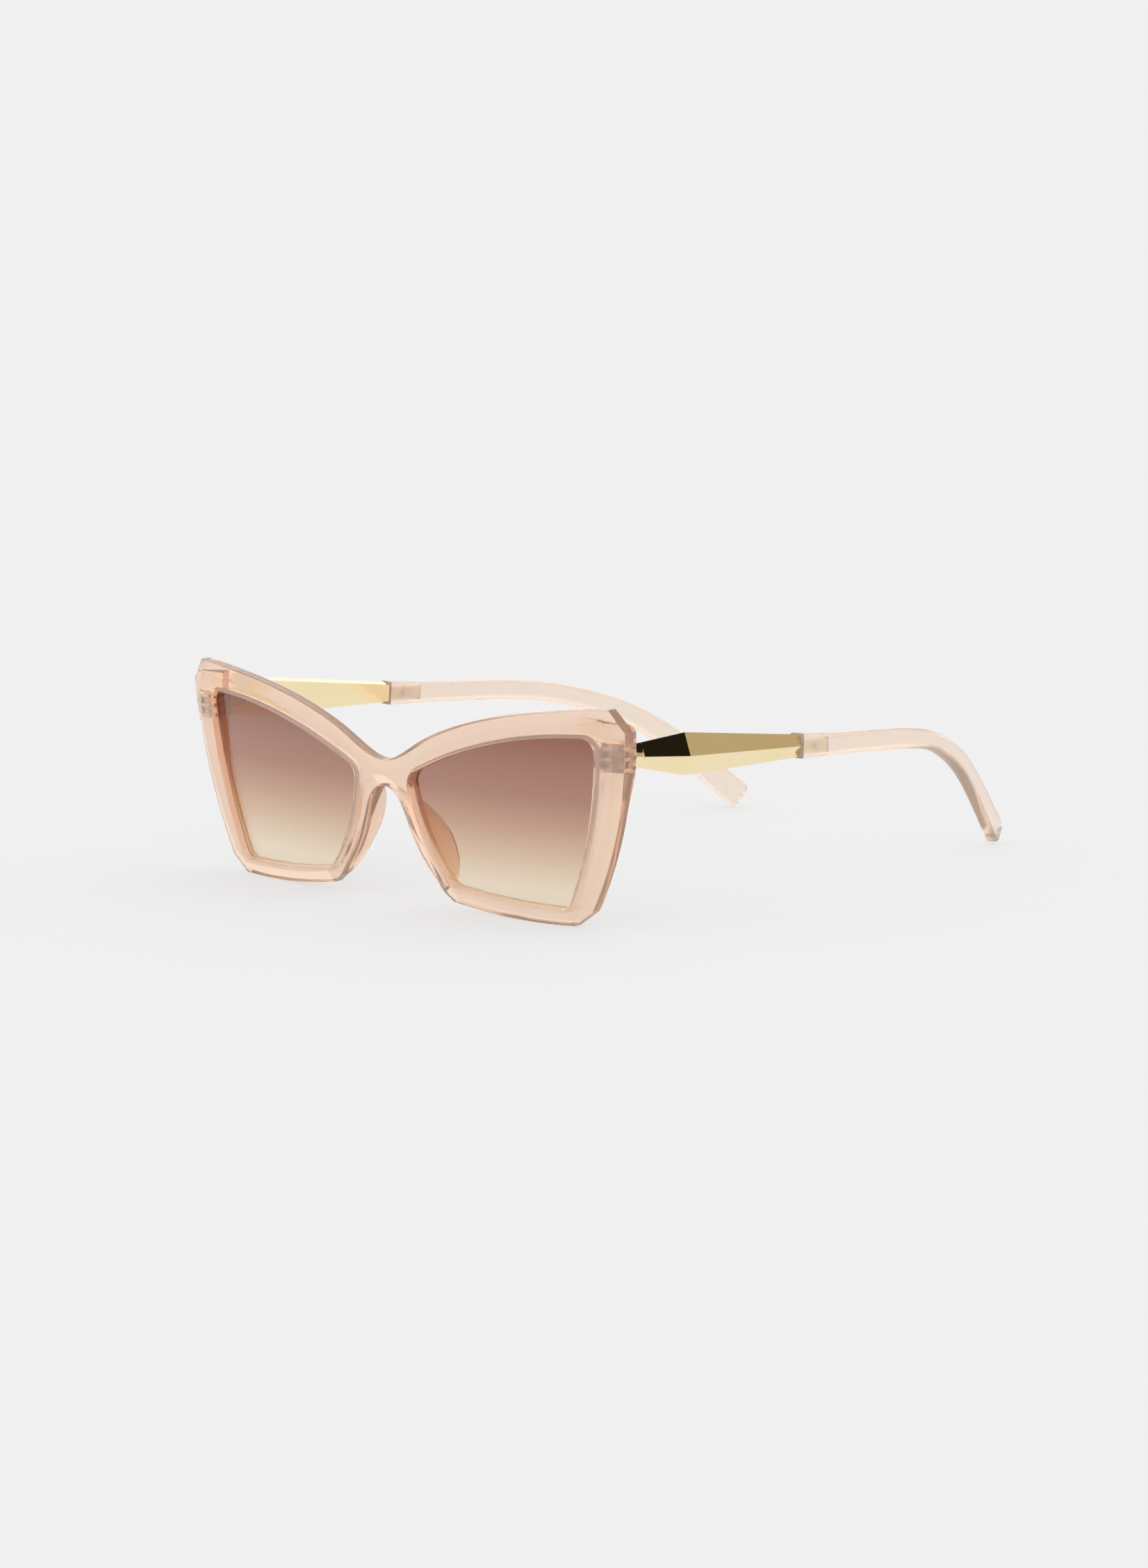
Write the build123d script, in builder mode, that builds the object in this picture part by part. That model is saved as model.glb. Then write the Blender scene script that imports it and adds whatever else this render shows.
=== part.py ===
"""Cat eye sunglasses: a faceted translucent front, two sun lenses and two folding temples.

Millimetres, +Z up. The front faces -Y, and +X is on the right as it is seen from the front.
The glasses stand open on their two rim bottoms and two temple ends, which lie on Z = 0.
Points of the front are (across, up) on its own tilted plane, and depths run back from that plane.
"""
import os
from math import cos, radians, sin, sqrt

from build123d import *

# Front: place and section
FRONT_Y = -74.69           # where the front plane meets the floor
FRONT_Z = -0.16
FRONT_TILT = radians(4.1)  # the top leans forward
FACE_RADIUS = 386.0        # curve of the front face, seen from above
RIM_THICKNESS = 4.0
BEVEL_WIDTH = 2.8          # the sloping outer band of the front face
BEVEL_DEPTH = 0.9
BACK_CHAMFER = 0.9
RIDGE_ROUND = 1.0          # between the face and its bevel
BACK_ROUND = 0.4           # between the back and its chamfer
EDGE_ROUND = 0.3           # outer edge of the bevel, and front edge of each lens opening
WALL_LEAN = 0.01           # a side wall's normal is this near to square with the front's

# Front: outline of the right half
BRIDGE_ARCH = (0.0, 26.2)
BROW = ((0.0, 32.2), (4.0, 33.0), (12.0, 36.9), (23.0, 41.25), (37.0, 44.7), (52.0, 46.85), (68.2, 48.1))
BROW_END_SLOPE = 0.05
UPPER_CORNER = (72.4, 43.2)
SIDE_MIDDLE = (68.3, 21.3)
LOWER_CORNER = (60.4, 3.5)
FOOT_OUTER = (55.0, 0.0)
FOOT_MIDDLE = (38.0, 0.2)
FOOT_INNER = (20.0, 2.2)
NOSE_SIDE = ((17.2, 4.2), (11.4, 10.9), (7.9, 17.0), (5.6, 22.2), BRIDGE_ARCH)
NOSE_SLOPE = (-0.62, 0.78)

# Lens opening, its corners in order round it, with a point on each side between them
OPENING_CORNERS = ((8.7, 29.5), (64.5, 41.6), (54.3, 3.6), (20.0, 5.8))
OPENING_MIDDLES = ((34.0, 38.3), (61.2, 21.3), (38.0, 4.0), (11.6, 18.3))
OPENING_ROUND = 3.2
LENS_THICKNESS = 1.4
LENS_DEPTH = 1.9           # from the face of the rim to the face of the lens
LENS_BITE = 0.7            # how far the lens edge reaches into its groove
GROOVE_PLAY = 0.03

# Endpieces: the thick upper outer corners that carry the hinges
ENDPIECE_FRONT = 1.2       # where it starts, behind the bevelled face
ENDPIECE_BACK = 10.9       # depth of the flat back
ENDPIECE_FOOT = 34.2       # the flat back reaches from this height
ENDPIECE_RUNOUT = (8.4, 20.0)  # depth and height where its lower slope has met the rim's back
ENDPIECE_INNER = 62.0      # the flat back reaches from here outward
ENDPIECE_START = (56.0, 7.2)  # distance across and depth where its inner slope starts, inside the rim
ENDPIECE_CREST = (7.2, 46.6)  # depth and height where its top starts to slope down, inside the rim
ENDPIECE_TOP = 44.2        # height of the flat back's upper edge

# Blanks that the front is cut from, larger than its outline
HALF_REACH = 80.0
BLANK_TOP = 60.0
BLANK_FOOT = -8.0
BLANK_DEPTH = 16.0

# Nose pads, moulded with the front: each is a fin on a plane along the nose side of the rim
PAD_ROOT = (10.4, 15.4, -3.5)
PAD_RUN = (-0.557, 0.83, 0.0)
PAD_NORMAL = (-0.797, -0.535, -0.28)
PAD_EDGE = ((13.4, 0.0), (9.4, 2.6), (4.4, 5.1), (-1.0, 6.2), (-5.8, 5.6), (-11.0, 3.2), (-13.0, 0.0))
PAD_SINK = 1.0
PAD_THICKNESS = 1.9
PAD_ROUND = 0.85

# Hinges: a steel leaf set in the endpiece, one riding on the temple, and a screw as the pin
HINGE_X = 66.0
HINGE_Y = FRONT_Y + 9.9
HINGE_Z = 38.0
HINGE_HEIGHT = 5.8
LEAF_HEIGHT = 6.3
KNUCKLE_RADIUS = 1.25
KNUCKLE_GAP = 0.06
MIDDLE_KNUCKLE = 2.2
WEB_HALF_WIDTH = 0.95
LEAF_THICKNESS = 0.8
LEAF_SPAN = (63.4, 69.4)
POCKET_PLAY = 0.03
ANCHOR_SPAN = (66.2, 70.4)
ANCHOR_PITCH = 2.3
ANCHOR_COUNT = 3
ANCHOR_HEIGHT = 0.8
ANCHOR_DEPTH = 2.6
SCREW_RADIUS = 0.6
SCREW_PLAY = 0.04
SCREW_HEAD_RADIUS = 1.0
SCREW_HEAD_HEIGHT = 0.5
SCREW_SLOT = 0.3
SLOT_DEPTH = 0.25

# Metal temple arms. Each station is its distance behind the hinge, then the x of the inner face,
# of the outer edges and of the ridge between the outer facets, then top, ridge and bottom heights
ARM_STATIONS = (
    (-2.6, 69.3, 71.2, 71.25, 40.9, 38.4, 35.9),
    (0.4, 69.3, 71.3, 72.4, 41.1, 38.05, 35.5),
    (12.6, 69.3, 71.8, 73.6, 42.0, 37.0, 32.7),
    (50.1, 67.0, 69.2, 70.3, 37.35, 34.9, 32.45),
)
ARM_INNER_INSET = 0.6      # the inner face is this much shorter than the outer edges, at top and bottom
ARM_BUTT = 11.05           # depth of the front end, just clear of the endpiece
TEMPLE_LEAF = (-1.1, 8.0)  # from and to, behind the hinge
TEMPLE_LEAF_HEIGHT = 3.2

# Plastic temple tips: points of the centre line behind the hinge, as (x, distance, z), and the
# height, thickness and corner radius at parts of its length
TIP_POINTS = (
    (68.65, 49.45, 34.9),
    (66.6, 72.0, 33.3),
    (62.9, 94.0, 31.2),
    (57.6, 106.0, 28.0),
    (52.4, 117.5, 22.4),
    (42.5, 140.0, 2.5),
)
TIP_START = (-0.08, 1.0, -0.075)
TIP_FINISH = (-0.42, 1.0, -0.89)
TIP_SIZES = (
    (0.0, 5.5, 4.1, 0.6),
    (0.12, 4.7, 3.7, 1.2),
    (0.5, 4.5, 3.5, 1.55),
    (0.75, 5.5, 3.3, 1.5),
    (1.0, 6.6, 2.8, 1.25),
)
TIP_SECTIONS = 13
TIP_END_ROUND = 1.8        # corners of the end, seen from the side

# Tang on the back of the arm, the socket it fills, and the screw that holds the tip
TANG_LENGTH = 9.0
TANG_ROOT = 1.0            # how far the tang runs into the arm
TANG_HEIGHT = 2.7
TANG_THICKNESS = 1.2
SOCKET_PLAY = 0.2
MOUTH_GAP = 0.04
TIP_SCREW_BACK = 4.8
TIP_SCREW_RADIUS = 0.5
TIP_SCREW_HEAD_RADIUS = 0.8
TIP_SCREW_HEAD_HEIGHT = 0.5
TIP_SCREW_REACH = 2.9
TIP_SCREW_SINK = 1.55      # from the middle of the tip to the face of the screw's head

FRONT = Plane(
    origin=(0, FRONT_Y, FRONT_Z),
    x_dir=(1, 0, 0),
    z_dir=(0, -cos(FRONT_TILT), -sin(FRONT_TILT)),
)
PLAN = Plane(origin=FRONT.origin, x_dir=(1, 0, 0), z_dir=FRONT.y_dir)
FRONT_SIDE = Plane(origin=FRONT.origin, x_dir=-FRONT.z_dir, z_dir=(1, 0, 0))
LEAF_UP = FRONT.to_local_coords(Vector(HINGE_X, HINGE_Y, HINGE_Z)).Y

with BuildLine() as tip_line:
    Spline(
        *[(across, HINGE_Y + distance, up) for across, distance, up in TIP_POINTS],
        tangents=(TIP_START, TIP_FINISH),
    )
tip_path = tip_line.line.edge()


def face_depth(across, inset=0.0):
    """Depth of the curved front face, or of a surface inset from it, at a distance across."""
    return FACE_RADIUS - sqrt((FACE_RADIUS - inset) ** 2 - across**2)


def face_arc(inset):
    """Three points of the curved face, or of a surface inset from it, seen from above."""
    edge = face_depth(HALF_REACH, inset)
    return (-HALF_REACH, edge), (0, inset), (HALF_REACH, edge)


def curved_band(near, far):
    """Solid between two depths behind the curved face, over the whole front."""
    with BuildPart() as band:
        with BuildSketch(PLAN.offset(BLANK_FOOT)):
            with BuildLine():
                front_arc = ThreePointArc(*face_arc(near))
                back_arc = ThreePointArc(*face_arc(far))
                Line(front_arc @ 0, back_arc @ 0)
                Line(front_arc @ 1, back_arc @ 1)
            make_face()
        extrude(amount=BLANK_TOP - BLANK_FOOT)
    return band.part


def outline_prism():
    """The front's outline, cut straight through its plane."""
    with BuildPart() as prism:
        with BuildSketch(FRONT):
            with BuildLine():
                Spline(*BROW, tangents=((1, 0), (1, BROW_END_SLOPE)), tangent_scalars=(1, 1))
                Line(BROW[-1], UPPER_CORNER)
                ThreePointArc(UPPER_CORNER, SIDE_MIDDLE, LOWER_CORNER)
                Line(LOWER_CORNER, FOOT_OUTER)
                ThreePointArc(FOOT_OUTER, FOOT_MIDDLE, FOOT_INNER)
                Line(FOOT_INNER, NOSE_SIDE[0])
                Spline(*NOSE_SIDE, tangents=(NOSE_SLOPE, (-1, 0)))
                mirror(about=Plane.YZ)
            make_face()
        extrude(amount=-BLANK_DEPTH)
    return prism.part


def curved_faces(part):
    """The face and the back of the rim, the two largest curved faces."""
    return part.faces().filter_by(GeomType.CYLINDER).sort_by(SortBy.AREA)[-2:].sort_by(Axis.Y)


def outer_edges(part):
    """Edges where the bevel round the face meets the side walls."""
    face, _ = curved_faces(part)
    ridge = set(face.edges())
    bevels = part.faces().filter_by(lambda other: other != face and ridge & set(other.edges()))
    walls = part.faces().filter_by(lambda wall: abs(wall.normal_at().dot(FRONT.z_dir)) < WALL_LEAN)
    wall_edges = set(walls.edges())
    return [edge for edge in bevels.edges() if edge in wall_edges]


def endpiece_block():
    """Flat-backed block behind the right upper outer corner, within the outline."""
    with BuildPart() as block:
        with BuildSketch(PLAN.offset(BLANK_FOOT)):
            with BuildLine():
                Polyline(
                    (ENDPIECE_START[0], 0),
                    ENDPIECE_START,
                    (ENDPIECE_INNER, ENDPIECE_BACK),
                    (HALF_REACH, ENDPIECE_BACK),
                    (HALF_REACH, 0),
                    close=True,
                )
            make_face()
        extrude(amount=BLANK_TOP - BLANK_FOOT)
        with BuildSketch(FRONT_SIDE):
            with BuildLine():
                Polyline(
                    (0, ENDPIECE_RUNOUT[1]),
                    ENDPIECE_RUNOUT,
                    (ENDPIECE_BACK, ENDPIECE_FOOT),
                    (ENDPIECE_BACK, ENDPIECE_TOP),
                    ENDPIECE_CREST,
                    (0, ENDPIECE_CREST[1]),
                    close=True,
                )
            make_face()
        extrude(amount=HALF_REACH, mode=Mode.INTERSECT)
        add(outline_prism(), mode=Mode.INTERSECT)
        add(curved_band(ENDPIECE_FRONT, BLANK_DEPTH), mode=Mode.INTERSECT)
    return block.part


def opening_prism(bite):
    """The right lens opening, grown by a bite into the rim, cut straight through the plane."""
    following = OPENING_CORNERS[1:] + OPENING_CORNERS[:1]
    with BuildPart() as prism:
        with BuildSketch(FRONT) as outline:
            with BuildLine():
                for corner, middle, next_corner in zip(OPENING_CORNERS, OPENING_MIDDLES, following):
                    ThreePointArc(corner, middle, next_corner)
            make_face()
            fillet(outline.vertices(), radius=OPENING_ROUND)
            offset(amount=bite, kind=Kind.ARC)
        extrude(amount=-BLANK_DEPTH)
    return prism.part


def lens_blank(play):
    """The right lens, grown by some play when it is the cutter for its groove."""
    with BuildPart() as blank:
        add(opening_prism(LENS_BITE + play))
        add(
            curved_band(LENS_DEPTH - play, LENS_DEPTH + LENS_THICKNESS + play),
            mode=Mode.INTERSECT,
        )
    return blank.part


def nose_pad():
    """The right nose pad: a rounded fin that leans outward behind the rim."""
    root = Plane(origin=PAD_ROOT, x_dir=PAD_RUN, z_dir=PAD_NORMAL)
    fin_plane = Plane(FRONT.location * root.location)
    with BuildPart() as pad:
        with BuildSketch(fin_plane):
            with BuildLine():
                edge = Spline(*PAD_EDGE)
                Polyline(
                    edge @ 1,
                    edge @ 1 - Vector(0, PAD_SINK),
                    edge @ 0 - Vector(0, PAD_SINK),
                    edge @ 0,
                )
            make_face()
        extrude(amount=PAD_THICKNESS / 2, both=True)
        rim_edges = pad.edges().filter_by(GeomType.BSPLINE)
        fillet(rim_edges, radius=PAD_ROUND)
    return pad.part


def hinge_insert(play):
    """Plate and anchor bars of the right front leaf, grown by some play as its own cutter."""
    plate_width = LEAF_SPAN[1] - LEAF_SPAN[0] + 2 * play
    bar_width = ANCHOR_SPAN[1] - ANCHOR_SPAN[0] + 2 * play
    with BuildPart() as insert:
        with BuildSketch(FRONT.offset(-ENDPIECE_BACK)):
            with Locations((sum(LEAF_SPAN) / 2, LEAF_UP)):
                Rectangle(plate_width, LEAF_HEIGHT + 2 * play)
        extrude(amount=LEAF_THICKNESS + play)
        with BuildSketch(FRONT.offset(LEAF_THICKNESS - ENDPIECE_BACK)):
            with Locations((sum(ANCHOR_SPAN) / 2, LEAF_UP)):
                with GridLocations(0, ANCHOR_PITCH, 1, ANCHOR_COUNT):
                    Rectangle(bar_width, ANCHOR_HEIGHT + 2 * play)
        extrude(amount=ANCHOR_DEPTH + play)
    return insert.part


def knuckle(bottom, top, toward, bore):
    """One knuckle of the right hinge, joined by its web to the point toward, seen from above."""
    along = Vector(*toward) - Vector(HINGE_X, HINGE_Y)
    middle = Vector(HINGE_X, HINGE_Y) + along / 2
    with BuildPart() as barrel:
        with BuildSketch(Plane.XY.offset(bottom)):
            with Locations((HINGE_X, HINGE_Y)):
                Circle(KNUCKLE_RADIUS)
            with Locations(middle):
                Rectangle(
                    max(abs(along.X), 2 * WEB_HALF_WIDTH),
                    max(abs(along.Y), 2 * WEB_HALF_WIDTH),
                )
            with Locations((HINGE_X, HINGE_Y)):
                Circle(bore, mode=Mode.SUBTRACT)
        extrude(amount=top - bottom)
    return barrel.part


def behind_hinge(distance):
    """Plane across the temple at a distance behind the hinge, with x across and y up."""
    return Plane(origin=(0, HINGE_Y + distance, 0), x_dir=(1, 0, 0), z_dir=(0, -1, 0))


def temple_leaf_plate(play):
    """Plate of the right temple leaf, sunk in the arm, grown by some play as its own cutter."""
    length = TEMPLE_LEAF[1] - TEMPLE_LEAF[0] + 2 * play
    inner_face = ARM_STATIONS[0][1]
    with BuildPart() as plate:
        with BuildSketch(Plane.YZ.offset(inner_face)):
            with Locations((HINGE_Y + sum(TEMPLE_LEAF) / 2, HINGE_Z)):
                Rectangle(length, TEMPLE_LEAF_HEIGHT + 2 * play)
        extrude(amount=LEAF_THICKNESS + play)
    return plate.part


def tip_plane(part):
    """Plane square to the tip's centre line at a part of its length, x across and y up."""
    along = tip_path % part
    return Plane(origin=tip_path @ part, x_dir=along.cross(Vector(0, 0, 1)), z_dir=along)


def tip_size(part):
    """Height, thickness and corner radius of the tip at a part of its length."""
    for low, high in zip(TIP_SIZES, TIP_SIZES[1:]):
        if part <= high[0]:
            share = (part - low[0]) / (high[0] - low[0])
            return tuple(a + (b - a) * share for a, b in zip(low[1:], high[1:]))
    return TIP_SIZES[-1][1:]


def tip_screw_shape(play):
    """Screw that holds the right tip on its tang, grown by some play as its own cutter."""
    head = TIP_SCREW_PLANE.offset(TIP_SCREW_SINK + play)
    with BuildPart() as screw:
        with BuildSketch(head):
            Circle(TIP_SCREW_HEAD_RADIUS + play)
        extrude(amount=-TIP_SCREW_HEAD_HEIGHT - 2 * play)
        with BuildSketch(head):
            Circle(TIP_SCREW_RADIUS + play)
        extrude(amount=-TIP_SCREW_REACH - 2 * play)
    return screw.part


def tip_end_corners():
    """What is cut from the end of the right tip to round its two corners."""
    end = tip_plane(1)
    height, thickness, _ = tip_size(1)
    with BuildPart() as corners:
        with BuildSketch(Plane(origin=end.origin, x_dir=end.z_dir, z_dir=end.x_dir)):
            with Locations((-TIP_END_ROUND / 2, 0)):
                Rectangle(TIP_END_ROUND, 2 * height)
                Rectangle(TIP_END_ROUND, height - 2 * TIP_END_ROUND, mode=Mode.SUBTRACT)
            with Locations((-TIP_END_ROUND, 0)):
                with GridLocations(0, height - 2 * TIP_END_ROUND, 1, 2):
                    Circle(TIP_END_ROUND, mode=Mode.SUBTRACT)
        extrude(amount=thickness, both=True)
    return corners.part


def mirrored(right_part):
    """The left-hand copy of a right-hand part."""
    with BuildPart() as left:
        add(mirror(right_part, about=Plane.YZ))
    return left.part


def save(piece, label):
    """Write one sub-part as its own STEP file."""
    piece.label = label
    export_step(piece, f"parts/{label}.step")


def save_pair(right_part, name):
    """Write a right-hand sub-part and its left-hand copy."""
    save(right_part, f"{name}_right")
    save(mirrored(right_part), f"{name}_left")


os.makedirs("parts", exist_ok=True)
mouth = tip_plane(0)
TIP_SCREW_PLANE = Plane(
    origin=mouth.origin + mouth.z_dir * TIP_SCREW_BACK,
    x_dir=mouth.z_dir,
    z_dir=-mouth.x_dir,
)
middle_bottom = HINGE_Z - MIDDLE_KNUCKLE / 2
middle_top = HINGE_Z + MIDDLE_KNUCKLE / 2
hinge_bottom = HINGE_Z - HINGE_HEIGHT / 2
hinge_top = HINGE_Z + HINGE_HEIGHT / 2

# Front frame: outline through a curved band, bevelled and rounded, then its lens openings, its
# endpieces and pads, and last the grooves of the lenses and the pockets of the hinge leaves
opening = opening_prism(0)
groove = lens_blank(GROOVE_PLAY)
insert = hinge_insert(POCKET_PLAY)
with BuildPart() as front_frame:
    add(curved_band(0, RIM_THICKNESS))
    add(outline_prism(), mode=Mode.INTERSECT)
    face, back = curved_faces(front_frame)
    chamfer(face.edges(), length=BEVEL_WIDTH, length2=BEVEL_DEPTH, reference=face)
    chamfer(back.edges(), length=BACK_CHAMFER)
    fillet(outer_edges(front_frame), radius=EDGE_ROUND)
    face, back = curved_faces(front_frame)
    fillet(face.edges(), radius=RIDGE_ROUND)
    face, back = curved_faces(front_frame)
    fillet(back.edges(), radius=BACK_ROUND)
    for cutter in (opening, mirrored(opening)):
        add(cutter, mode=Mode.SUBTRACT)
    face, back = curved_faces(front_frame)
    fillet(face.inner_wires().edges(), radius=EDGE_ROUND)
    for piece in (endpiece_block(), nose_pad()):
        add(piece)
        add(mirrored(piece))
    for cutter in (opening, groove, insert):
        add(cutter, mode=Mode.SUBTRACT)
        add(mirrored(cutter), mode=Mode.SUBTRACT)
save(front_frame.part, "front_frame")

with BuildPart() as lens_right:
    add(lens_blank(0))
save_pair(lens_right.part, "lens")

# Front hinge leaf: plate and anchors in the endpiece, knuckles above and below the middle one
with BuildPart() as front_leaf:
    add(hinge_insert(0))
    plate_point = (HINGE_X, FRONT_Y + ENDPIECE_BACK - HINGE_Z * sin(FRONT_TILT) - LEAF_THICKNESS / 2)
    for bottom, top in (
        (hinge_bottom, middle_bottom - KNUCKLE_GAP),
        (middle_top + KNUCKLE_GAP, hinge_top),
    ):
        add(knuckle(bottom, top, plate_point, SCREW_RADIUS + SCREW_PLAY))
save_pair(front_leaf.part, "front_hinge_leaf")

# Hinge screw: the pin of the hinge, with a slotted head above the top knuckle
with BuildPart() as hinge_screw:
    with BuildSketch(Plane.XY.offset(hinge_bottom)):
        with Locations((HINGE_X, HINGE_Y)):
            Circle(SCREW_RADIUS)
    extrude(amount=HINGE_HEIGHT)
    with BuildSketch(Plane.XY.offset(hinge_top)):
        with Locations((HINGE_X, HINGE_Y)):
            Circle(SCREW_HEAD_RADIUS)
    extrude(amount=SCREW_HEAD_HEIGHT)
    with BuildSketch(Plane.XY.offset(hinge_top + SCREW_HEAD_HEIGHT)):
        with Locations((HINGE_X, HINGE_Y)):
            Rectangle(2 * SCREW_HEAD_RADIUS, SCREW_SLOT)
    extrude(amount=-SLOT_DEPTH, mode=Mode.SUBTRACT)
save_pair(hinge_screw.part, "hinge_screw")

# Temple arm: a faceted metal bar with a tang behind it
with BuildPart() as temple_arm:
    for distance, inner, edge, ridge, top, ridge_height, bottom in ARM_STATIONS:
        with BuildSketch(behind_hinge(distance)):
            with BuildLine():
                Polyline(
                    (inner, bottom + ARM_INNER_INSET),
                    (inner, top - ARM_INNER_INSET),
                    (edge, top),
                    (ridge, ridge_height),
                    (edge, bottom),
                    close=True,
                )
            make_face()
    loft(ruled=True)
    split(bisect_by=FRONT.offset(-ARM_BUTT), keep=Keep.BOTTOM)
    split(bisect_by=mouth.offset(-MOUTH_GAP), keep=Keep.BOTTOM)
    with BuildSketch(mouth.offset(-TANG_ROOT)):
        Rectangle(TANG_THICKNESS, TANG_HEIGHT)
    extrude(amount=TANG_LENGTH + TANG_ROOT)
    add(temple_leaf_plate(POCKET_PLAY), mode=Mode.SUBTRACT)
    add(tip_screw_shape(SCREW_PLAY), mode=Mode.SUBTRACT)
save_pair(temple_arm.part, "temple_arm")

with BuildPart() as temple_leaf:
    add(temple_leaf_plate(0))
    plate_point = (ARM_STATIONS[0][1] + LEAF_THICKNESS / 2, HINGE_Y)
    add(knuckle(middle_bottom, middle_top, plate_point, SCREW_RADIUS + SCREW_PLAY))
save_pair(temple_leaf.part, "temple_hinge_leaf")

# Temple tip: a rounded plastic sleeve lofted along the temple, with a socket for the tang
with BuildPart() as temple_tip:
    for index in range(TIP_SECTIONS):
        part = index / (TIP_SECTIONS - 1)
        height, thickness, corner = tip_size(part)
        with BuildSketch(tip_plane(part)):
            RectangleRounded(thickness, height, corner)
    loft()
    add(tip_end_corners(), mode=Mode.SUBTRACT)
    with BuildSketch(mouth):
        Rectangle(TANG_THICKNESS + 2 * SOCKET_PLAY, TANG_HEIGHT + 2 * SOCKET_PLAY)
    extrude(amount=TANG_LENGTH + SOCKET_PLAY, mode=Mode.SUBTRACT)
    add(tip_screw_shape(SCREW_PLAY), mode=Mode.SUBTRACT)
save_pair(temple_tip.part, "temple_tip")

with BuildPart() as tip_screw:
    add(tip_screw_shape(0))
    with BuildSketch(TIP_SCREW_PLANE.offset(TIP_SCREW_SINK)):
        Rectangle(SCREW_SLOT, 2 * TIP_SCREW_HEAD_RADIUS)
    extrude(amount=-SLOT_DEPTH, mode=Mode.SUBTRACT)
save_pair(tip_screw.part, "tip_screw")
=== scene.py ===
"""Looks of the cat eye sunglasses: milky blush plastic, gradient lenses, pale gold arms, soft studio."""
from math import radians

import bpy
from mathutils import Matrix, Vector


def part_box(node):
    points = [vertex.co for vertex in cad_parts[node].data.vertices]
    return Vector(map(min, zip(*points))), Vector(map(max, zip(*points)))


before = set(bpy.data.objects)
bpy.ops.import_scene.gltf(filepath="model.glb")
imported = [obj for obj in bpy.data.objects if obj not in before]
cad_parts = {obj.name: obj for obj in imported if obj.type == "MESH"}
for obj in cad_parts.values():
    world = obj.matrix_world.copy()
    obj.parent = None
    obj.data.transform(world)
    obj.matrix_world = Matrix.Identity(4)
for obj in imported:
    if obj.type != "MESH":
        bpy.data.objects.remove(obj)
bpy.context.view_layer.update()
MM = 0.001

# Camera: its place from the glasses' origin, its turns in degrees, and its lens and sensor in mm
CAMERA_PLACE = Vector((961.41, -899.65, 211.33)) * MM
CAMERA_AZIMUTH = 47.5
CAMERA_ELEVATION = 8.342
CAMERA_ROLL = -0.928
CAMERA_LENS = 133.2
SENSOR = 36.0
CLIP_END = 100.0

# Floor, in metres, and its paper: how pale it is, how much that varies, and its own faint glow
FLOOR_SIZE = 40.0
PAPER = 0.25
PAPER_VARIES = 0.004
PAPER_SCALE = 3.0
PAPER_GLOW = 0.584

# Surroundings: colours are linear, azimuths go from +Y towards +X, heights are sines
BACKGROUND = 0.871         # what the camera sees past the floor
STUDIO_LIGHT = (1.15, 1.15, 1.15)
GLOW_LIGHT = (1.15, 1.13, 1.1)  # what shows through clear pieces
DIM_LIGHT = (0.49, 0.42, 0.31)  # a dimmer side, seen only in reflections
DIM_AZIMUTHS = (radians(20), radians(120))
DIM_SOFT = radians(25)
FLAG_LIGHT = (0.012, 0.01, 0.007)  # a dark panel, seen only in reflections
FLAG_AZIMUTHS = (radians(40), radians(75))
FLAG_HEIGHTS = (0.08, 0.62)
FLAG_SOFT = 0.03

# A material's cloudy colour goes from one tint to the other between these values of its noise
CLOUD_SPAN = (0.3, 0.7)

# Blush plastics, with painted shade in a deeper orange on some faces. A turn is how far a face turns along
# an axis, from and to, and a soft margin
BLUSH = (1.0, 0.93, 0.85)
BLUSH_DEEP = (1.0, 0.90, 0.81)
TIP_BLUSH = (1.0, 0.945, 0.885)
TIP_BLUSH_DEEP = (1.0, 0.92, 0.85)
# Painted shade: a deeper orange for bevels, walls and tip edges, standing in for shade and longer light
# paths in the plastic
PAINTED_EDGE_SHADE = (1.0, 0.66, 0.46)
BEVEL_SHADE_TURN = (-1.0, 0.82, 0.1)  # where the painted shade goes on the front's bevels and walls, along Y
BEVEL_SHADE_SHARE = 0.5
TIP_EDGE_SHADE_TURN = (0.95, 1.1, 0.65)  # where the painted shade goes on the upper and lower edges of the tips, along Z
TIP_EDGE_SHADE_SHARE = 0.6
FRONT_CLEAR = 0.81         # share of clear plastic; the rest is milky
TIP_CLEAR = 0.75
FRONT_IOR = 1.36
TIP_IOR = 1.3
MILK_SPREAD = (1.0, 0.8, 0.7)
MILK_DEPTH = 2 * MM
ABSORB = (0.97, 0.66, 0.42)
FRONT_DENSITY = 165.0
TIP_DENSITY = 90.0
PLASTIC_CLOUD_SCALE = 40.0
PLASTIC_RUB_SCALE = 700.0
PLASTIC_ROUGHNESS = (0.03, 0.08)
PLASTIC_WAVE_SCALE = 160.0
PLASTIC_WAVE_DEPTH = 0.03 * MM

# Lenses: tint at parts of their height, from the bottom up, and a near black painted on their edges as
# shade
LENS_COLOURS = (
    (0.10, (0.92, 0.79, 0.62)),
    (0.27, (0.77, 0.57, 0.405)),
    (0.44, (0.61, 0.375, 0.265)),
    (0.61, (0.46, 0.24, 0.175)),
    (0.78, (0.395, 0.195, 0.14)),
    (0.95, (0.32, 0.125, 0.085)),
)
LENS_EDGE_PAINTED_SHADE = (0.09, 0.035, 0.02)
LENS_FACE_TURN = (0.7, 1.1, 0.2)  # faces that keep the gradient, along Y; the other faces get the painted shade
LENS_IOR = 1.5
LENS_RUB_SCALE = 500.0
LENS_ROUGHNESS = (0.0, 0.015)

# Gold plate, and the rounding of the arms' facets
GOLD = (1.0, 0.85, 0.56)
GOLD_DEEP = (0.97, 0.82, 0.50)
GOLD_CLOUD_SCALE = 60.0
GOLD_RUB_SCALE = 900.0
GOLD_ROUGHNESS = (0.03, 0.09)
GOLD_WAVE_SCALE = 45.0
GOLD_WAVE_STRETCH = (1, 0.4, 1)
GOLD_WAVE_DEPTH = 0.2 * MM
FACET_TURN = radians(5)
FACET_ROUND = 0.25 * MM

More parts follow.
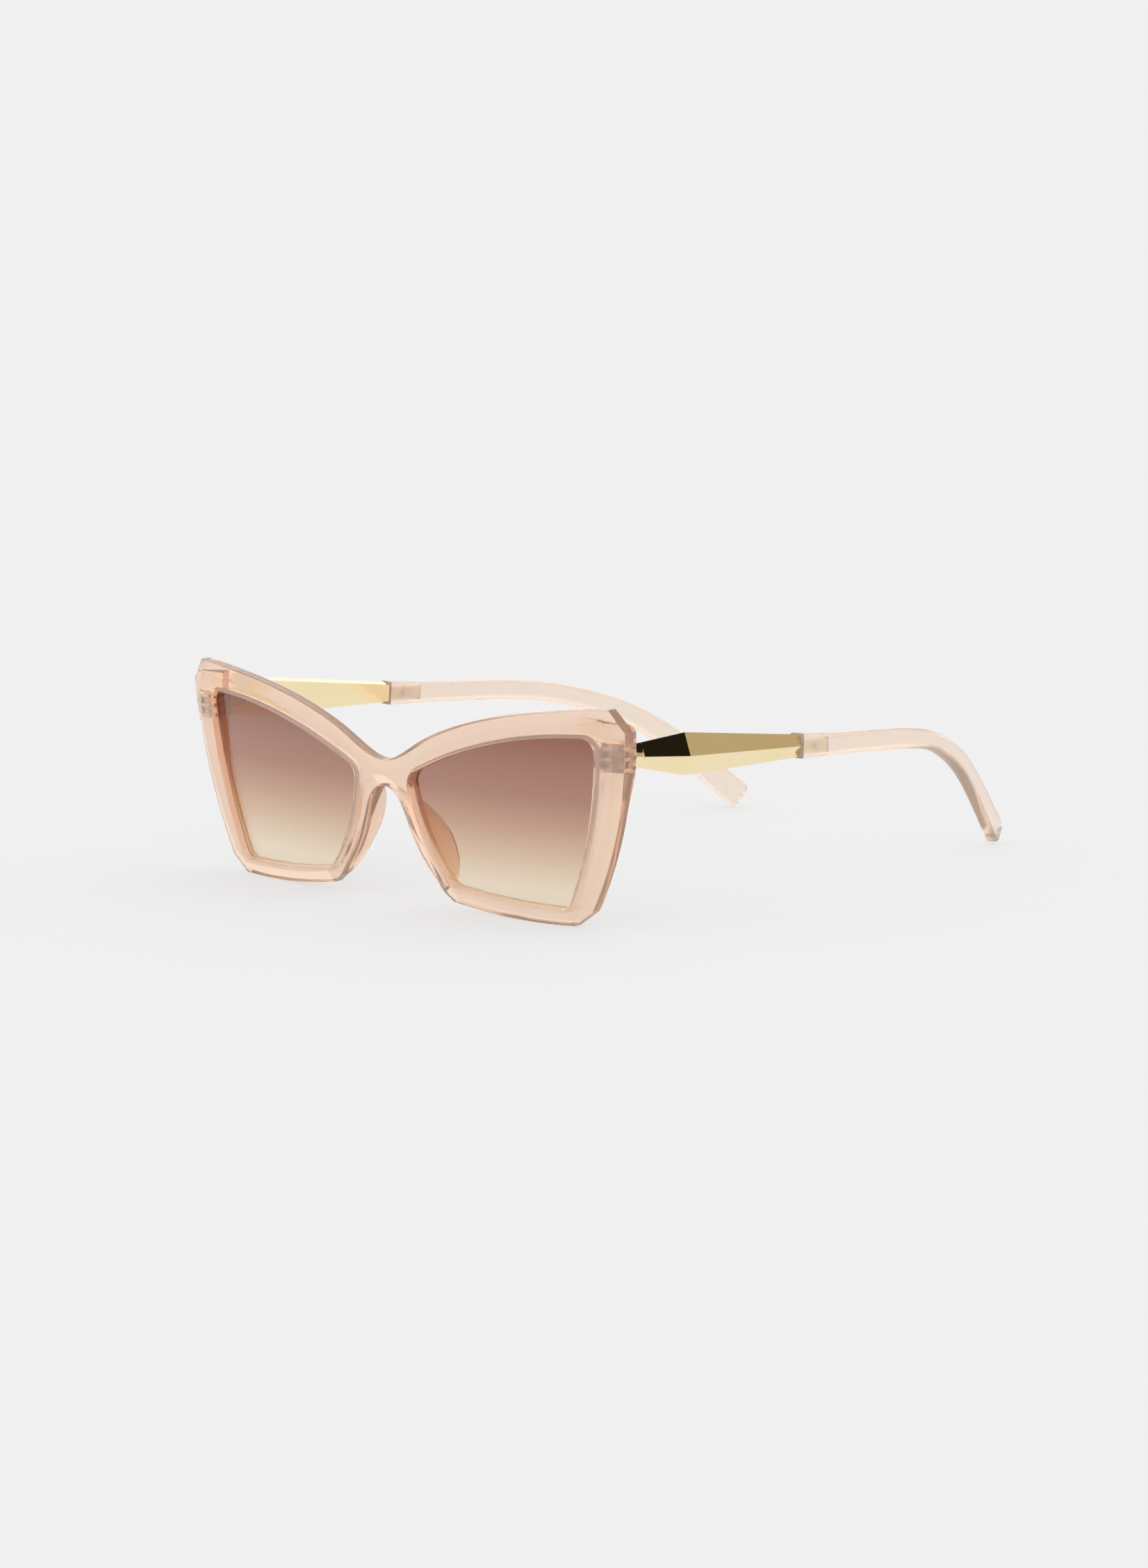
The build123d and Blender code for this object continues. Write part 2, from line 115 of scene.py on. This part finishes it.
# Satin steel
STEEL = (0.86, 0.79, 0.72)
STEEL_PALE = (0.94, 0.89, 0.83)
STEEL_GRAIN_SCALE = 1500.0
STEEL_GRAIN_STRETCH = (1, 1, 6)
STEEL_GRAIN_DEPTH = 0.01 * MM
HINGE_ROUGHNESS = (0.25, 0.4)
SCREW_ROUGHNESS = (0.18, 0.33)


def material(name):
    """New node material with only a Principled shader, and its node tree."""
    made = bpy.data.materials.new(name)
    made.use_nodes = True
    tree = made.node_tree
    shader = tree.nodes["Principled BSDF"]
    return made, tree, shader


def link(tree, source, output, target, socket):
    """Join a node's named output to another node's input."""
    tree.links.new(source.outputs[output], target.inputs[socket])


def noise(tree, scale, detail=3.0, stretch=(1, 1, 1)):
    """Noise in object space, in features per metre."""
    place = tree.nodes.new("ShaderNodeTexCoord")
    mapping = tree.nodes.new("ShaderNodeMapping")
    mapping.inputs["Scale"].default_value = stretch
    texture = tree.nodes.new("ShaderNodeTexNoise")
    texture.inputs["Scale"].default_value = scale
    texture.inputs["Detail"].default_value = detail
    link(tree, place, "Object", mapping, "Vector")
    link(tree, mapping, "Vector", texture, "Vector")
    return texture


def ramp(tree, source, output, stops):
    """Colour ramp over a 0 to 1 value."""
    node = tree.nodes.new("ShaderNodeValToRGB")
    elements = node.color_ramp.elements
    while len(elements) < len(stops):
        elements.new(0.5)
    for element, (place, colour) in zip(elements, stops):
        element.position = place
        element.color = (*colour, 1.0)
    link(tree, source, output, node, "Fac")
    return node


def clouded(tree, source, first, second):
    """Colour socket that drifts between two tints."""
    low, high = CLOUD_SPAN
    return ramp(tree, source, "Fac", ((low, first), (high, second))).outputs["Color"]


def bump(tree, shader, source, distance):
    """Fine relief, this far from its lowest to its highest, in metres."""
    node = tree.nodes.new("ShaderNodeBump")
    node.inputs["Distance"].default_value = distance
    link(tree, source, "Fac", node, "Height")
    link(tree, node, "Normal", shader, "Normal")


def roughness(tree, shader, source, low, high):
    """Roughness that varies between two values."""
    node = tree.nodes.new("ShaderNodeMapRange")
    node.inputs["To Min"].default_value = low
    node.inputs["To Max"].default_value = high
    link(tree, source, "Fac", node, "Value")
    link(tree, node, "Result", shader, "Roughness")


def mix(tree, factor, first, second):
    """Colour socket that goes from the first colour to the second; each is a colour or a socket."""
    node = tree.nodes.new("ShaderNodeMix")
    node.data_type = "RGBA"
    sockets = [socket for socket in node.inputs if socket.enabled]
    tree.links.new(factor, sockets[0])
    for socket, colour in zip(sockets[1:], (first, second)):
        if isinstance(colour, tuple):
            socket.default_value = (*colour, 1.0)
        else:
            tree.links.new(colour, socket)
    return next(socket for socket in node.outputs if socket.enabled)


def band(tree, value, low, high, soft):
    """1 between low and high, falling to 0 over a soft margin outside."""
    rise = tree.nodes.new("ShaderNodeMapRange")
    fall = tree.nodes.new("ShaderNodeMapRange")
    both = tree.nodes.new("ShaderNodeMath")
    both.operation = "MULTIPLY"
    for step, start, end in ((rise, low - soft, low), (fall, high + soft, high)):
        step.inputs["From Min"].default_value = start
        step.inputs["From Max"].default_value = end
        tree.links.new(value, step.inputs["Value"])
    tree.links.new(rise.outputs["Result"], both.inputs[0])
    tree.links.new(fall.outputs["Result"], both.inputs[1])
    return both.outputs["Value"]


def turned(tree, axis, turn, share):
    """Share of a second colour on the faces that turn along an axis by an amount within a soft band; it
    sets where painted shade goes.
    """
    facing = tree.nodes.new("ShaderNodeNewGeometry")
    parts = tree.nodes.new("ShaderNodeSeparateXYZ")
    size = tree.nodes.new("ShaderNodeMath")
    size.operation = "ABSOLUTE"
    amount = tree.nodes.new("ShaderNodeMath")
    amount.operation = "MULTIPLY"
    amount.inputs[1].default_value = share
    link(tree, facing, "Normal", parts, "Vector")
    link(tree, parts, axis, size, 0)
    tree.links.new(band(tree, size.outputs["Value"], *turn), amount.inputs[0])
    return amount.outputs["Value"]


def blush_plastic(name, pale, deep, clear, density, bend, painted_edge_shade):
    """Polished translucent plastic: a little milky, deeper where light travels further in it, and with
    painted shade in a deeper orange on the faces that one turn selects.
    """
    made, tree, shader = material(name)
    tint = clouded(tree, noise(tree, PLASTIC_CLOUD_SCALE, 2.0), deep, pale)
    # Painted shade: a deeper orange mixed into the base colour on the faces that the turn selects
    colour = mix(tree, turned(tree, *painted_edge_shade), tint, PAINTED_EDGE_SHADE)
    tree.links.new(colour, shader.inputs["Base Color"])
    roughness(tree, shader, noise(tree, PLASTIC_RUB_SCALE), *PLASTIC_ROUGHNESS)
    bump(tree, shader, noise(tree, PLASTIC_WAVE_SCALE, 2.0), PLASTIC_WAVE_DEPTH)
    shader.inputs["Transmission Weight"].default_value = clear
    shader.inputs["IOR"].default_value = bend
    shader.inputs["Subsurface Weight"].default_value = 1.0
    shader.inputs["Subsurface Radius"].default_value = MILK_SPREAD
    shader.inputs["Subsurface Scale"].default_value = MILK_DEPTH
    depth = tree.nodes.new("ShaderNodeVolumeAbsorption")
    depth.inputs["Color"].default_value = (*ABSORB, 1.0)
    depth.inputs["Density"].default_value = density
    link(tree, depth, "Volume", tree.nodes["Material Output"], "Volume")
    return made


def gradient_lens():
    """Sun lens, dark at the brow and nearly clear at the bottom."""
    made, tree, shader = material("gradient_lens")
    low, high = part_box("lens_right")
    place = tree.nodes.new("ShaderNodeTexCoord")
    split = tree.nodes.new("ShaderNodeSeparateXYZ")
    height = tree.nodes.new("ShaderNodeMapRange")
    height.inputs["From Min"].default_value = low[2]
    height.inputs["From Max"].default_value = high[2]
    link(tree, place, "Object", split, "Vector")
    link(tree, split, "Z", height, "Value")
    tint = ramp(tree, height, "Result", LENS_COLOURS)
    # Painted shade: lens faces not turned along Y get the near black edge colour instead of the gradient
    colour = mix(tree, turned(tree, "Y", LENS_FACE_TURN, 1.0), LENS_EDGE_PAINTED_SHADE, tint.outputs["Color"])
    tree.links.new(colour, shader.inputs["Base Color"])
    roughness(tree, shader, noise(tree, LENS_RUB_SCALE), *LENS_ROUGHNESS)
    shader.inputs["Transmission Weight"].default_value = 1.0
    shader.inputs["IOR"].default_value = LENS_IOR
    return made


def gold_plate():
    """Mirror-polished pale gold plate."""
    made, tree, shader = material("gold_metal")
    colour = clouded(tree, noise(tree, GOLD_CLOUD_SCALE, 2.0), GOLD, GOLD_DEEP)
    tree.links.new(colour, shader.inputs["Base Color"])
    shader.inputs["Metallic"].default_value = 1.0
    roughness(tree, shader, noise(tree, GOLD_RUB_SCALE, 4.0), *GOLD_ROUGHNESS)
    bump(tree, shader, noise(tree, GOLD_WAVE_SCALE, 1.0, GOLD_WAVE_STRETCH), GOLD_WAVE_DEPTH)
    return made


def steel(name, rough):
    """Satin steel with fine turning marks."""
    made, tree, shader = material(name)
    grain = noise(tree, STEEL_GRAIN_SCALE, 4.0, STEEL_GRAIN_STRETCH)
    tree.links.new(clouded(tree, grain, STEEL, STEEL_PALE), shader.inputs["Base Color"])
    shader.inputs["Metallic"].default_value = 1.0
    roughness(tree, shader, grain, *rough)
    bump(tree, shader, grain, STEEL_GRAIN_DEPTH)
    return made


def soften(node):
    """Small rounding along a metal part's facets, so that they catch light."""
    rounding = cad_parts[node].modifiers.new("soft_edges", "BEVEL")
    rounding.width = FACET_ROUND
    rounding.segments = 2
    rounding.limit_method = "ANGLE"
    rounding.angle_limit = FACET_TURN
    rounding.harden_normals = True


def dress(node, made):
    """Give a CAD node its material."""
    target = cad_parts[node]
    target.data.materials.clear()
    target.data.materials.append(made)


def dress_all():
    """Materials for every CAD node."""
    # Painted shade on the front's bevels and walls, and on the tips' upper and lower edges
    front_painted_shade = ("Y", BEVEL_SHADE_TURN, BEVEL_SHADE_SHARE)
    front = blush_plastic("front_plastic", BLUSH, BLUSH_DEEP, FRONT_CLEAR, FRONT_DENSITY, FRONT_IOR, front_painted_shade)
    tip_painted_shade = ("Z", TIP_EDGE_SHADE_TURN, TIP_EDGE_SHADE_SHARE)
    tip = blush_plastic("tip_plastic", TIP_BLUSH, TIP_BLUSH_DEEP, TIP_CLEAR, TIP_DENSITY, TIP_IOR, tip_painted_shade)
    lens = gradient_lens()
    gold = gold_plate()
    hinge = steel("hinge_metal", HINGE_ROUGHNESS)
    screw = steel("screw_metal", SCREW_ROUGHNESS)
    dress("front_frame", front)
    for side in ("left", "right"):
        dress(f"lens_{side}", lens)
        dress(f"temple_arm_{side}", gold)
        soften(f"temple_arm_{side}")
        dress(f"temple_tip_{side}", tip)
        dress(f"front_hinge_leaf_{side}", hinge)
        dress(f"temple_hinge_leaf_{side}", hinge)
        dress(f"hinge_screw_{side}", screw)
        dress(f"tip_screw_{side}", screw)


def camera():
    """Long lens from the near side, a little above the glasses."""
    data = bpy.data.cameras.new("camera")
    made = bpy.data.objects.new("camera", data)
    bpy.context.scene.collection.objects.link(made)
    data.lens = CAMERA_LENS
    data.sensor_width = SENSOR
    data.clip_end = CLIP_END
    turn = (
        Matrix.Rotation(radians(CAMERA_AZIMUTH), 4, "Z")
        @ Matrix.Rotation(radians(90 - CAMERA_ELEVATION), 4, "X")
        @ Matrix.Rotation(radians(CAMERA_ROLL), 4, "Z")
    )
    made.matrix_world = Matrix.Translation(CAMERA_PLACE) @ turn
    bpy.context.scene.camera = made


def floor():
    """Plain pale floor, far larger than the view, lit a little from within to keep shadows faint."""
    bpy.ops.mesh.primitive_grid_add(size=FLOOR_SIZE, x_subdivisions=4, y_subdivisions=4)
    made = bpy.context.object
    made.name = "studio_floor"
    paper, tree, shader = material("floor_paper")
    grain = noise(tree, PAPER_SCALE, 2.0)
    tint = ramp(tree, grain, "Fac", ((0.0, (PAPER,) * 3), (1.0, (PAPER + PAPER_VARIES,) * 3)))
    link(tree, tint, "Color", shader, "Base Color")
    shader.inputs["Roughness"].default_value = 1.0
    shader.inputs["Specular IOR Level"].default_value = 0.0
    shader.inputs["Emission Color"].default_value = (1.0, 1.0, 1.0, 1.0)
    shader.inputs["Emission Strength"].default_value = PAPER_GLOW
    made.data.materials.append(paper)


def studio():
    """White surroundings, with a dim side and a dark panel in reflections, and paper past the floor."""
    world = bpy.data.worlds.new("studio")
    bpy.context.scene.world = world
    world.use_nodes = True
    tree = world.node_tree
    place = tree.nodes.new("ShaderNodeTexCoord")
    split = tree.nodes.new("ShaderNodeSeparateXYZ")
    azimuth = tree.nodes.new("ShaderNodeMath")
    azimuth.operation = "ARCTAN2"
    link(tree, place, "Generated", split, "Vector")
    link(tree, split, "X", azimuth, 0)
    link(tree, split, "Y", azimuth, 1)
    across = band(tree, azimuth.outputs["Value"], *FLAG_AZIMUTHS, FLAG_SOFT)
    up = band(tree, split.outputs["Z"], *FLAG_HEIGHTS, FLAG_SOFT)
    flag = tree.nodes.new("ShaderNodeMath")
    flag.operation = "MULTIPLY"
    tree.links.new(across, flag.inputs[0])
    tree.links.new(up, flag.inputs[1])
    dim = band(tree, azimuth.outputs["Value"], *DIM_AZIMUTHS, DIM_SOFT)
    lit = mix(tree, dim, STUDIO_LIGHT, DIM_LIGHT)
    flagged = mix(tree, flag.outputs["Value"], lit, FLAG_LIGHT)
    path = tree.nodes.new("ShaderNodeLightPath")
    mirrored = mix(tree, path.outputs["Is Glossy Ray"], STUDIO_LIGHT, flagged)
    through = mix(tree, path.outputs["Is Transmission Ray"], mirrored, GLOW_LIGHT)
    seen = mix(tree, path.outputs["Is Camera Ray"], through, (BACKGROUND,) * 3)
    tree.links.new(seen, tree.nodes["Background"].inputs["Color"])


bpy.context.scene.view_settings.view_transform = "Standard"
camera()
floor()
studio()
dress_all()
